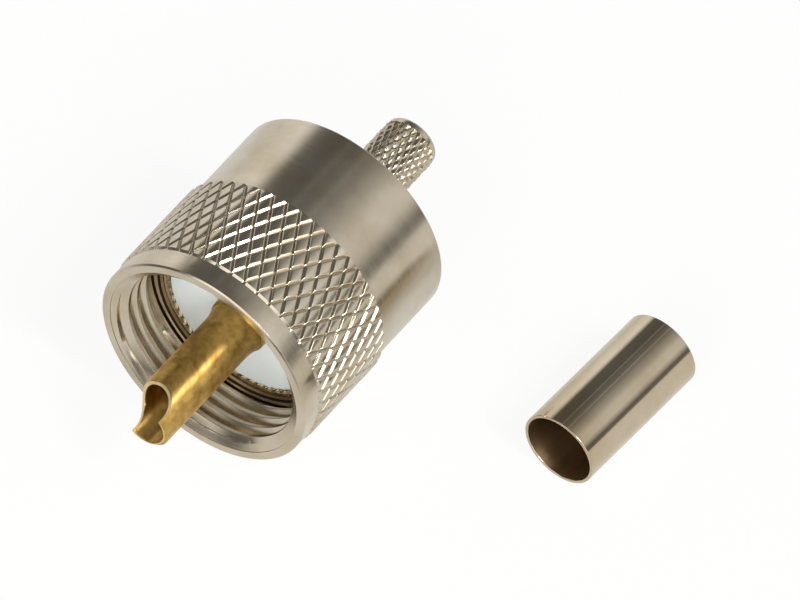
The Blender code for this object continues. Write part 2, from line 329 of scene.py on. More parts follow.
class Skin:
    """A closed skin of turned rings, knurls and threads, gathered in cylindrical coordinates.

    Besides its place, each point keeps the distance run along the profile, so that tool marks
    can follow flat faces as well as round ones.

    Attributes:
        SNAP: How near to an end of the thread a point of its grid is drawn to the ring there.
        UNEVEN: Largest unevenness of a rolled surface.
        SHARP: Angle between two faces past which the edge between them is shaded sharp.
        LEAD: How far large faces lead small ones in the shading, from 50 for not at all to 100.
        SEED: Start of the unevenness's random draws.
        axis: The axis that it turns round.
        angles: Angles of the points in a plain ring.
        rows: Points so far, each an angle, a station, a radius and a distance along the profile.
        quads: Faces so far that have four corners.
        triangles: Faces so far that have three.
        size: Number of points so far.
        run: Distance along the profile so far.
        spot: The profile's last spot.
        first: The ring that the skin starts from.
        last: The ring that it has come to.
    """

    SNAP = 0.006 * MM
    UNEVEN = 0.006 * MM
    SHARP = math.radians(35)
    LEAD = 80
    SEED = 5

    def __init__(self, axis: TurningAxis, count: int) -> None:
        """Start an empty skin.

        Args:
            axis: The axis to turn round.
            count: Number of points in a plain ring.
        """
        self.axis = axis
        self.angles = even_angles(count)
        self.rows: list[np.ndarray] = []
        self.quads: list[np.ndarray] = []
        self.triangles: list[np.ndarray] = []
        self.size = 0
        self.run = 0.0
        self.spot: Spot | None = None
        self.first: Ring | None = None
        self.last: Ring | None = None

    def add_points(self, angles: np.ndarray, stations: np.ndarray | float,
                   radii: np.ndarray | float, runs: np.ndarray | float) -> np.ndarray:
        """Add points to the skin.

        Args:
            angles: Angles round the axis.
            stations: Distances along the axis.
            radii: Distances from the axis.
            runs: Distances along the profile.

        Returns:
            The points' numbers, in the shape that the arrays share.
        """
        parts = np.broadcast_arrays(angles, stations, radii, runs)
        self.rows.append(np.column_stack([part.ravel() for part in parts]))
        ids = np.arange(self.size, self.size + parts[0].size).reshape(parts[0].shape)
        self.size += parts[0].size
        return ids

    def move_to(self, station: float, radius: float) -> None:
        """Count the straight distance from the last spot of the profile to this one.

        Args:
            station: The spot's distance along the axis.
            radius: Its distance from the axis.
        """
        if self.spot is not None:
            self.run += math.hypot(station - self.spot[0], radius - self.spot[1])
        self.spot = (station, radius)

    def ring(self, angles: np.ndarray, stations: np.ndarray | float,
             radii: np.ndarray | float) -> Ring:
        """Add a ring at the end of the profile, without skinning the space before it."""
        self.move_to(float(np.mean(stations)), float(np.mean(radii)))
        return Ring(self.add_points(angles, stations, radii, self.run), angles)

    def join(self, ring: Ring, other: Ring) -> None:
        """Skin the space between two rings: quads where their counts match, else triangles.

        Each edge of a ring becomes a triangle whose third corner is the point of the other ring
        that has been passed when the edge's middle is reached, going round both at one pace.

        Args:
            ring: The ring nearer the start of the profile.
            other: The next ring.
        """
        ahead, other_ahead = np.roll(ring.ids, -1), np.roll(other.ids, -1)
        if len(ring.ids) == len(other.ids):
            self.quads.append(np.column_stack((ring.ids, ahead, other_ahead, other.ids)))
            return
        middles = self.edge_middles(ring.angles)
        other_middles = self.edge_middles(other.angles)
        passed = np.searchsorted(other_middles, middles, side="left") % len(other.ids)
        other_passed = np.searchsorted(middles, other_middles, side="right") % len(ring.ids)
        self.triangles.append(np.column_stack((ring.ids, ahead, other.ids[passed])))
        self.triangles.append(np.column_stack((other_ahead, other.ids, ring.ids[other_passed])))

    @staticmethod
    def edge_middles(angles: np.ndarray) -> np.ndarray:
        """Return the angle of the middle of each edge of a ring."""
        return (angles + np.append(angles[1:], angles[0] + FULL_TURN)) / 2

    def carry_to(self, ring: Ring) -> None:
        """Carry the skin on from the last ring to this one.

        Args:
            ring: The next ring. The first of all only starts the skin.
        """
        if self.last is None:
            self.first = ring
        else:
            self.join(self.last, ring)
        self.last = ring

    def turn(self, profile: Sequence[Spot]) -> None:
        """Carry the skin along profile points, each a station and a radius, in plain rings."""
        for station, radius in profile:
            self.carry_to(self.ring(self.angles, station, radius))

    def knurl(self, form: Knurl) -> None:
        """Carry the skin over a diamond knurl.

        The lattice counts grooves of the first set by p and of the second by q. A point's angle
        is half of p plus q, its station is p minus q, and its radius lies below the crest by the
        deeper of the two grooves there and by the rolled surface's small unevenness. Lattice
        lines lie on the edges of the grooves, and both ends of the knurl cut the lattice along
        its diagonals.

        Args:
            form: The knurl.
        """
        lines = form.groove.lines()
        per = len(lines)
        steps = form.rows * per
        q_line = np.arange(form.starts * per)[:, None]
        p_line = q_line + np.arange(steps + 1)[None, :]
        q = q_line // per + lines[q_line % per]
        p = p_line // per + lines[p_line % per]
        angles = (p + q) / 2 * FULL_TURN / form.starts
        along = (p - q) * form.length / form.rows
        drop = np.maximum(form.groove.depth(p), form.groove.depth(q))
        drop += self.UNEVEN / form.depth * np.random.default_rng(self.SEED).random(drop.shape)
        root_r = form.crest_r - form.depth
        front_angles = angles[:, 0]
        self.carry_to(self.ring(front_angles, form.start - form.ramp, root_r))
        self.move_to(form.start, form.crest_r)
        ids = self.add_points(angles, form.start + along, form.crest_r - form.depth * drop,
                              self.run + along)
        after = np.roll(ids, -1, axis=0)
        self.quads.append(np.stack((ids[:, 1:-1], after[:, :-2], after[:, 1:-1], ids[:, 2:]),
                                   axis=-1).reshape(-1, 4))
        self.triangles.append(np.column_stack((ids[:, 0], after[:, 0], ids[:, 1])))
        self.triangles.append(np.column_stack((ids[:, -1], after[:, -2], after[:, -1])))
        self.carry_to(Ring(ids[:, 0], front_angles))
        self.last = Ring(ids[:, -1], angles[:, -1]).in_order()
        self.move_to(form.start + form.length, form.crest_r)
        self.carry_to(self.ring(self.last.angles, form.start + form.length, root_r))

    def thread(self, form: Thread, mouth: Ring) -> None:
        """Carry the skin from the undercut along the inner thread to the mouth.

        The rows of the grid follow the helix: a point's station is the phase, and the pitch times
        its place across the threads less its share of a turn. Points past either end are drawn
        to the ring there, and faces that vanish by it are left out.

        Args:
            form: The thread.
            mouth: The ring behind the lip, with as many points as the last ring.
        """
        shares, cuts = form.section()
        per = len(shares)
        columns = len(mouth.ids)
        turns = math.ceil((form.end - form.phase) / form.pitch) + 2
        row = np.arange(turns * per + 1)[:, None]
        across = row // per - 1 + shares[row % per] - mouth.angles[None, :] / FULL_TURN
        stations = form.phase + across * form.pitch
        radii = form.radii(stations, cuts[row % per])
        ids = np.empty((len(row), columns), dtype=int)
        before = stations < form.lip + self.SNAP
        past = stations > form.end - self.SNAP
        kept = ~(before | past)
        angles = np.broadcast_to(mouth.angles[None, :], stations.shape)
        ids[kept] = self.add_points(angles[kept], stations[kept], radii[kept], stations[kept])
        ids[before] = np.broadcast_to(mouth.ids[None, :], ids.shape)[before]
        ids[past] = np.broadcast_to(self.last.ids[None, :], ids.shape)[past]
        seam = np.concatenate((np.repeat(mouth.ids[:1], per), ids[:-per, 0]))
        wide = np.column_stack((ids, seam))
        corners = np.stack((wide[:-1, :-1], wide[1:, :-1], wide[1:, 1:], wide[:-1, 1:]), axis=-1)
        self.add_collapsed(corners.reshape(-1, 4))
        self.last = self.first = None

    def add_collapsed(self, corners: np.ndarray) -> None:
        """Add quads of which some have an edge drawn to a point, as triangles where they have.

        Args:
            corners: Four corners a row, of which the first two or the last two may be the same.
        """
        near = corners[:, 0] == corners[:, 1]
        far = corners[:, 2] == corners[:, 3]
        self.quads.append(corners[~near & ~far])
        self.triangles.append(corners[near & ~far][:, 1:])
        self.triangles.append(corners[far & ~near][:, :3])

    def between(self, stations: tuple[float, float], radii: tuple[float, float]) -> np.ndarray:
        """Mark the points that lie between two stations and between two radii, or on them.

        Args:
            stations: The lower station and the higher one.
            radii: The smaller radius and the larger one.

        Returns:
            For each point, whether it lies there.
        """
        places = np.concatenate(self.rows)[:, 1:3]
        low = np.array((stations[0], radii[0])) - self.SNAP / 6
        high = np.array((stations[1], radii[1])) + self.SNAP / 6
        return ((places > low) & (places < high)).all(axis=1)

    def build(self, name: str) -> bpy.types.Object:
        """Close the skin and put it into a mesh object with its faces pointing out.

        The volume under each face, summed with its sign, tells whether the skin is inside out.

        Args:
            name: The object's name.

        Returns:
            The new object, at the frame's origin, with its distances along the profile kept in
            the attribute that the metals read.
        """
        if self.last is not None:
            self.join(self.last, self.first)
        rows = np.concatenate(self.rows)
        points = self.axis.place(rows[:, 0], rows[:, 1], rows[:, 2])
        quads = np.concatenate(self.quads)
        triangles = np.concatenate(self.triangles + [np.empty((0, 3), dtype=int)])
        halves = np.concatenate((triangles, quads[:, :3], quads[:, [0, 2, 3]]))
        local = points - points.mean(axis=0)
        corners = local[halves]
        volume = np.einsum("ij,ij->", corners[:, 0], np.cross(corners[:, 1], corners[:, 2]))
        if volume < 0:
            quads, triangles = quads[:, ::-1], triangles[:, ::-1]
        mesh = bpy.data.meshes.new(name)
        mesh.from_pydata(points, [], quads.tolist() + triangles.tolist())
        mesh.shade_smooth()
        mesh.set_sharp_from_angle(angle=self.SHARP)
        grain = np.column_stack((rows[:, 2] * np.cos(rows[:, 0]), rows[:, 3],
                                 rows[:, 2] * np.sin(rows[:, 0])))
        kept = mesh.attributes.new("grain", "FLOAT_VECTOR", "POINT")
        kept.data.foreach_set("vector", grain.astype(np.float32).ravel())
        piece = bpy.data.objects.new(name, mesh)
        bpy.context.scene.collection.objects.link(piece)
        shading = piece.modifiers.new("even_shading", "WEIGHTED_NORMAL")
        shading.mode = "FACE_AREA"
        shading.weight = self.LEAD
        shading.keep_sharp = True
        return piece


def linear(colour: str) -> tuple[float, float, float, float]:
    """Turn an sRGB colour into a linear one.

    A part near black is divided by 12.92. Any other is the power of 2.4 of its sum with 0.055,
    over 1.055.

    Args:
        colour: The colour in hex, such as #C8BEA8.

    Returns:
        Red, green, blue and alpha.
    """
    parts = [int(colour[place:place + 2], 16) / 255 for place in (1, 3, 5)]
    curved = [part / 12.92 if part <= 0.04045 else ((part + 0.055) / 1.055) ** 2.4
              for part in parts]
    return (curved[0], curved[1], curved[2], 1.0)


def add_node(tree: bpy.types.NodeTree, kind: str, links: dict[Any, Any] | None = None,
             **settings: Any) -> bpy.types.Node:
    """Add a node to a tree.

    Args:
        tree: The tree.
        kind: The node's type name.
        links: For each input, by name or number, the output to link to it or its value.
        settings: Properties of the node.

    Returns:
        The new node.
    """
    node = tree.nodes.new(kind)
    for name, value in settings.items():
        setattr(node, name, value)
    for name, value in (links or {}).items():
        if isinstance(value, bpy.types.NodeSocket):
            tree.links.new(value, node.inputs[name])
        else:
            node.inputs[name].default_value = value
    return node


def new_material(name: str) -> tuple[bpy.types.Material, bpy.types.NodeTree, bpy.types.Node]:
    """Start a material that is made of nodes.

    Args:
        name: Its name.

    Returns:
        The material, its tree and its Principled shader.
    """
    material = bpy.data.materials.new(name)
    material.use_nodes = True
    return material, material.node_tree, material.node_tree.nodes["Principled BSDF"]


@dataclass(frozen=True)
class PlatedMetal:
    """A plated brass surface with the marks of the tool that made it.

    The plate follows every mark of the brass below, so the eye sees long fine streaks along the
    cut, and slow changes of tint where the plate is thinner or has aged.

    Attributes:
        name: The material's name.
        colour: The plate's colour where it is clean.
        aged: Its colour where it has aged.
        roughness: Its mean roughness.
        roughness_spread: How far the marks change the roughness.
        mark_mm: Spacing of the tool marks. Real ones are some hundredths of a millimetre apart,
            and are drawn as coarse as they need to show.
        mark_depth_mm: Depth of the marks.
        mark_run_mm: Length of a mark along the cut.
        mottle_mm: Size of the aged patches.
        grain: The way in which the marks run.
        anisotropy: How far a highlight is drawn out across the marks, from 0 to 1.
        AGED_SPAN: Values of the patches' noise between which the plate goes from clean to aged.
        MARK_SPAN: Values of the marks' noise that give the least and the most roughness.
    """

    AGED_SPAN = (0.38, 0.68)
    MARK_SPAN = (0.3, 0.7)

    name: str
    colour: str
    aged: str
    roughness: float
    roughness_spread: float
    mark_mm: float
    mark_depth_mm: float
    mark_run_mm: float
    mottle_mm: float
    grain: Grain = Grain.ROUND
    anisotropy: float = 0.0

    def make(self) -> bpy.types.Material:
        """Make the material, with its patterns laid out in the piece's own turning space.

        A noise stretched along the cut is both the marks' relief and their change of roughness,
        and an even one takes the plate's colour from clean to aged.

        Returns:
            The new material.
        """
        material, tree, shader = new_material(self.name)
        place = add_node(tree, "ShaderNodeAttribute", attribute_name="grain").outputs["Vector"]
        across = 1 / (self.mark_mm * MM)
        along = 1 / (self.mark_run_mm * MM)
        scale = (along, across, along) if self.grain is Grain.ROUND else (across, along, across)
        stretched = add_node(tree, "ShaderNodeMapping", {"Vector": place, "Scale": scale})
        marks = add_node(tree, "ShaderNodeTexNoise",
                         {"Vector": stretched.outputs["Vector"], "Scale": 1.0, "Detail": 3.0,
                          "Roughness": 0.6}).outputs["Fac"]
        patches = add_node(tree, "ShaderNodeTexNoise",
                           {"Vector": place, "Scale": 1 / (self.mottle_mm * MM), "Detail": 4.0,
                            "Roughness": 0.55}).outputs["Fac"]
        ageing = add_node(tree, "ShaderNodeMapRange",
                          {"Value": patches, "From Min": self.AGED_SPAN[0],
                           "From Max": self.AGED_SPAN[1]})
        tint = add_node(tree, "ShaderNodeMix",
                        {"Factor": ageing.outputs["Result"], "A": linear(self.colour),
                         "B": linear(self.aged)}, data_type="RGBA")
        polish = add_node(tree, "ShaderNodeMapRange",
                          {"Value": marks, "From Min": self.MARK_SPAN[0],
                           "From Max": self.MARK_SPAN[1],
                           "To Min": self.roughness - self.roughness_spread,
                           "To Max": self.roughness + self.roughness_spread})
        relief = add_node(tree, "ShaderNodeBump",
                          {"Height": marks, "Strength": 1.0, "Distance": self.mark_depth_mm * MM})
        tree.links.new(tint.outputs["Result"], shader.inputs["Base Color"])
        tree.links.new(polish.outputs["Result"], shader.inputs["Roughness"])
        tree.links.new(relief.outputs["Normal"], shader.inputs["Normal"])
        shader.inputs["Metallic"].default_value = 1.0
        if self.anisotropy:
            shader.inputs["Anisotropic"].default_value = self.anisotropy
            tree.links.new(self.across_marks(tree, place), shader.inputs["Tangent"])
        return material

    @staticmethod
    def across_marks(tree: bpy.types.NodeTree,
                     place: bpy.types.NodeSocket) -> bpy.types.NodeSocket:
        """Work out the direction on the surface that crosses round tool marks.

        The marks run along the cross product of the place and the axis, and the direction across
        them is the cross product of the normal and that.

        Args:
            tree: The material's tree.
            place: The place in the piece's own turning space.

        Returns:
            The output that gives the direction.
        """
        marks = add_node(tree, "ShaderNodeVectorMath", {0: place, 1: (0.0, 1.0, 0.0)},
                         operation="CROSS_PRODUCT")
        surface = add_node(tree, "ShaderNodeNewGeometry")
        return add_node(tree, "ShaderNodeVectorMath",
                        {0: surface.outputs["Normal"], 1: marks.outputs[0]},
                        operation="CROSS_PRODUCT").outputs[0]


@dataclass(frozen=True)
class TurnedPtfe:
    """Turned PTFE: a waxy, milky white plastic with a soft sheen and faint turning marks.

    Attributes:
        name: The material's name.
        colour: Its colour.
        shade: Its colour in the slow cloudy patches.
        roughness: Its roughness.
        mark_mm: Spacing of the turning marks.
        mark_depth_mm: Their depth.
        cloud_mm: Size of the cloudy patches.
        scatter_mm: How far light travels inside it.
        scatter_share: Share of the light that does.
    """

    name: str = "turned_ptfe"
    colour: str = "#F4FAF8"
    shade: str = "#E9F3F2"
    roughness: float = 0.42
    mark_mm: float = 0.16
    mark_depth_mm: float = 0.002
    cloud_mm: float = 3.0
    scatter_mm: float = 0.6
    scatter_share: float = 0.25

    def make(self) -> bpy.types.Material:
        """Make the material: clouds from an even noise, and marks from one stretched round.

        Returns:
            The new material.
        """
        material, tree, shader = new_material(self.name)
        place = add_node(tree, "ShaderNodeAttribute", attribute_name="grain").outputs["Vector"]
        slow = 1 / (self.cloud_mm * MM)
        stretched = add_node(tree, "ShaderNodeMapping",
                             {"Vector": place, "Scale": (slow, 1 / (self.mark_mm * MM), slow)})
        marks = add_node(tree, "ShaderNodeTexNoise",
                         {"Vector": stretched.outputs["Vector"], "Scale": 1.0, "Detail": 2.0})
        clouds = add_node(tree, "ShaderNodeTexNoise", {"Vector": place, "Scale": slow})
        tint = add_node(tree, "ShaderNodeMix",
                        {"Factor": clouds.outputs["Fac"], "A": linear(self.colour),
                         "B": linear(self.shade)}, data_type="RGBA")
        relief = add_node(tree, "ShaderNodeBump",
                          {"Height": marks.outputs["Fac"], "Distance": self.mark_depth_mm * MM})
        tree.links.new(tint.outputs["Result"], shader.inputs["Base Color"])
        tree.links.new(relief.outputs["Normal"], shader.inputs["Normal"])
        shader.inputs["Roughness"].default_value = self.roughness
        shader.inputs["Subsurface Weight"].default_value = self.scatter_share
        shader.inputs["Subsurface Scale"].default_value = self.scatter_mm * MM
        return material


# Bright nickel over turned brass: warm grey, and smooth enough to mirror the room in soft bands
# that the round tool marks draw out a little along the axis.
BRIGHT_NICKEL = PlatedMetal("turned_nickel_plate", "#D3C8B4", "#C4B69D", 0.22, 0.04,
                            mark_mm=0.11, mark_depth_mm=0.0030, mark_run_mm=5.0, mottle_mm=4.0,
                            anisotropy=0.35)
# Nickel over drawn brass tube: smoother, so that what it mirrors has nearly sharp edges, with
# faint marks along the tube.
DRAWN_NICKEL = PlatedMetal("drawn_nickel_plate", "#D0C2A9", "#C2AF90", 0.10, 0.03,
                           mark_mm=0.16, mark_depth_mm=0.0010, mark_run_mm=14.0, mottle_mm=5.0,
                           grain=Grain.ALONG)
# The inside of a tube, where little plate is laid down: brownish and dull. In the nut the same
# # metal is also painted as shade on the slope deep behind the undercut, to darken it.
DULL_BORE = PlatedMetal("unplated_bore_and_shade", "#A48866", "#86704F", 0.44, 0.05,
                        mark_mm=0.16, mark_depth_mm=0.0010, mark_run_mm=14.0, mottle_mm=5.0,
                        grain=Grain.ALONG)
# Painted shade: nearly black metal laid on the undercut's deep far corner and on the step behind
# it, where shade falls deep in the nut.
PAINTED_SHADE_CORNER = PlatedMetal("painted_shade_corner", "#3A3027", "#2A221B", 0.50, 0.05,
                          mark_mm=0.16, mark_depth_mm=0.0010, mark_run_mm=5.0, mottle_mm=3.0)
# Gold plate on a freshly cut wall: pale, with no stripe of light on it.
CUT_GOLD = PlatedMetal("cut_gold_plate", "#F8E6BC", "#EAD09A", 0.50, 0.05,
                       mark_mm=0.12, mark_depth_mm=0.0030, mark_run_mm=1.0, mottle_mm=0.8)
# A thin dull gold plate on brass: mottled where it is thinnest, with one broad soft stripe of
# light along the pin, because its coarse round marks spread light along the axis.
DULL_GOLD = PlatedMetal("thin_gold_plate", "#E2BC6C", "#B48A46", 0.41, 0.05,
                        mark_mm=0.12, mark_depth_mm=0.0035, mark_run_mm=1.2, mottle_mm=0.8,
                        anisotropy=0.95)
MILKY_PTFE = TurnedPtfe()


def paint(piece: bpy.types.Object, marked: np.ndarray, material: bpy.types.Material) -> None:
    """Give another material to the faces of a dressed piece whose points are all marked.

    The faces' corners are listed one face after another, so a face is marked where the logical
    product of its stretch of the list is true.

    Args:
        piece: The piece.
        marked: For each of its points, whether it is marked.
        material: The other material.
    """
    mesh = piece.data
    if material.name not in mesh.materials:
        mesh.materials.append(material)
    corners = np.empty(len(mesh.loops), dtype=np.int32)
    starts, indices = np.empty((2, len(mesh.polygons)), dtype=np.int32)
    mesh.loops.foreach_get("vertex_index", corners)
    mesh.polygons.foreach_get("loop_start", starts)
    mesh.polygons.foreach_get("material_index", indices)
    indices[np.logical_and.reduceat(marked[corners], starts)] = mesh.materials.find(material.name)
    mesh.polygons.foreach_set("material_index", indices)


def dress(piece: bpy.types.Object, material: bpy.types.Material, body: str, node: str) -> None:
    """Give a finished piece its material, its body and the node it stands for.

    Args:
        piece: The piece, in place.
        material: Its material.
        body: The body that it rides on.
        node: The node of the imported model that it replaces.
    """
    piece.data.materials.append(material)
    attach(piece, body)
    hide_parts(node)
    triangles = len(piece.data.loops) - 2 * len(piece.data.polygons)
    LOG.info("%s: %d triangles, rides on %s", piece.name, triangles, body)


@dataclass(frozen=True)
class PlugPlace:
    """Where the plug's pieces lie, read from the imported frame.

    Attributes:
        axis: The plug's axis, with station 0 on the front face of the coupling nut.
        crest_r: Radius over the nut's knurl.
    """

    axis: TurningAxis
    crest_r: float

    @classmethod
    def from_frame(cls) -> "PlugPlace":
        """Take the axis from the nut's joint and the front face from the nut's box.

        Returns:
            The plug's place.
        """
        spot = frame["joints"][0]["pos_m"]
        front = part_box("coupling_nut")[0].y
        return cls(TurningAxis((spot[0], front, spot[2])), cls.widest("coupling_nut"))

    def stations(self, node: str) -> tuple[float, float]:
        """Return the stations of a node's front and rear ends."""
        low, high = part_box(node)
        return low.y - self.axis.origin[1], high.y - self.axis.origin[1]

    @staticmethod
    def widest(node: str) -> float:
        """Return the largest radius of a node that was turned on the plug's axis."""
        low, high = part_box(node)
        return (high.x - low.x) / 2


@dataclass
class CouplingNut:
    """The knurled nut that draws the plug onto its jack.

    Attributes:
        place: Where the plug lies.
        thread: Its inner thread.
        points_round: Number of points in a plain ring.
        land_relief: How far the plain land lies below the knurl's crests.
        land_bevel: Bevel between the front face and the land.
        knurl_start: Station of the knurl's front edge.
        knurl_length: Length of the knurl.
        knurl_ramp: Length of the slope from the land up to the knurl.
        knurl_starts: Number of the knurl's grooves each way.
        knurl_rows: Number of half diamonds along it.
        knurl_groove: Section of its grooves, which are narrow and have flat diamonds between.
        skirt_relief: How far the smooth skirt lies below the knurl's crests.
        corner: Rounding of the hollow corner between the knurl and the skirt.
        skirt_rounding: Rounding of the skirt's rear edge.
        edge: Rounding of every other edge.
        bore_r: Radius of the rear bore.
        bore_bevel: Bevel at its mouth.
        bore_length: Its length.
        painted_shade: Width of the painted shade, nearly black, on both sides of the
        undercut's far corner.
        step_r: Radius of the undercut's far wall at its inner edge.
        step: Length and height of the step behind that edge, painted nearly black as shade.
    """

    place: PlugPlace
    thread: Thread = Thread()
    points_round: int = 384
    land_relief: float = 0.15 * MM
    land_bevel: float = 0.12 * MM
    knurl_start: float = 1.95 * MM
    knurl_length: float = 7.55 * MM
    knurl_ramp: float = 0.16 * MM
    knurl_starts: int = 48
    knurl_rows: int = 7
    knurl_groove: GrooveForm = GrooveForm((0.0, 0.035, 0.100, 0.140, 0.175),
                                          (0.98, 0.78, 0.30, 0.08, 0.0))
    skirt_relief: float = 0.32 * MM
    corner: float = 0.14 * MM
    skirt_rounding: float = 0.15 * MM
    edge: float = 0.04 * MM
    bore_r: float = 5.75 * MM
    bore_bevel: float = 0.20 * MM
    bore_length: float = 5.00 * MM
    painted_shade: float = 0.14 * MM
    step_r: float = 7.50 * MM
    step: float = 0.14 * MM

    def knurl(self) -> Knurl:
        """Return the knurl, which is as deep as the land lies below its crests."""
        return Knurl(self.knurl_start, self.knurl_length, self.knurl_ramp, self.place.crest_r,
                     self.land_relief, self.knurl_starts, self.knurl_rows, self.knurl_groove)

    def outside(self, skin: Skin) -> None:
        """Turn the front face, the land, the knurl, the hollow corner behind it and the skirt.

        Args:
            skin: The nut's skin.
        """
        knurl = self.knurl()
        land_r = self.place.crest_r - self.land_relief
        skirt_r = self.place.crest_r - self.skirt_relief
        knurl_end = knurl.start + knurl.length
        skin.turn(fillet([(self.thread.lip, self.thread.mouth_r, 0.0),
                          (0.0, self.thread.mouth_r, self.edge / 2),
                          (0.0, land_r - self.land_bevel, self.edge / 2),
                          (self.land_bevel, land_r, self.edge / 2),
                          (knurl.start - knurl.ramp - self.edge, land_r, 0.0)]))
        skin.knurl(knurl)
        length = self.place.stations("coupling_nut")[1]
        skin.turn(fillet([(knurl_end, land_r, 0.0),
                          (knurl_end, skirt_r, self.corner),
                          (length, skirt_r, self.skirt_rounding),
                          (length, self.bore_r + self.bore_bevel, 0.0)], steps=8))

    def undercut_end(self) -> float:
        """Return the station of the undercut's far wall."""
        return self.thread.end + self.thread.undercut_length

    def inner_r(self) -> float:
        """Return the radius of the bore behind the undercut."""
        return self.thread.crest_r() + self.thread.relief

    def inside(self, skin: Skin) -> None:
        """Turn the rear bore, the shoulder, the inner bore and the undercut, and the thread.

        Args:
            skin: The nut's skin, carried to the rear end.
        """
        thread, inner_r, undercut_end = self.thread, self.inner_r(), self.undercut_end()
        length = self.place.stations("coupling_nut")[1]
        shoulder = length - self.bore_length
        mouth = skin.first
        skin.turn(fillet([(length - self.bore_bevel, self.bore_r, 0.0),
                          (shoulder, self.bore_r, self.edge),
                          (shoulder, inner_r, self.edge),
                          (undercut_end + self.step_r - inner_r, inner_r, 0.0),
                          (undercut_end + self.step, self.step_r - self.step, 0.0),
                          (undercut_end, self.step_r, 0.0),
                          (undercut_end, thread.undercut_r - self.painted_shade, 0.0),
                          (undercut_end, thread.undercut_r, self.edge),
                          (undercut_end - self.painted_shade, thread.undercut_r, 0.0),
                          (thread.end, thread.undercut_r, 0.0)], steps=3))
        skin.thread(thread, mouth)

    def make(self, metal: bpy.types.Material, painted_shade: bpy.types.Material,
             dull: bpy.types.Material) -> None:
        """Build the nut and dress it.

        Args:
            metal: Its plate.
            painted_shade: Nearly black metal, painted as shade on the undercut's far corner
            and on the step behind it.
            dull: Duller brownish metal, painted as shade on the slope from that step to the
            inner bore.
        """
        skin = Skin(self.place.axis, self.points_round)
        self.outside(skin)
        self.inside(skin)
        nut = skin.build("knurled_coupling_nut")
        dress(nut, metal, "nut", "coupling_nut")
        wall = self.undercut_end()
        step_end = wall + self.step
        deep_r, low_r = self.thread.undercut_r, self.step_r - self.step
        # The far corner of the undercut and the step behind it are painted nearly black: painted
        # shade deep in the nut.
        paint(nut, skin.between((wall - self.painted_shade, wall), (deep_r - self.painted_shade, deep_r)), painted_shade)
        paint(nut, skin.between((wall, step_end), (low_r, self.step_r)), painted_shade)
        # The slope behind the step gets the duller brownish metal: painted shade that darkens it
        # deep in the nut.
        paint(nut, skin.between((step_end, step_end + self.step), (self.inner_r(), low_r)), dull)


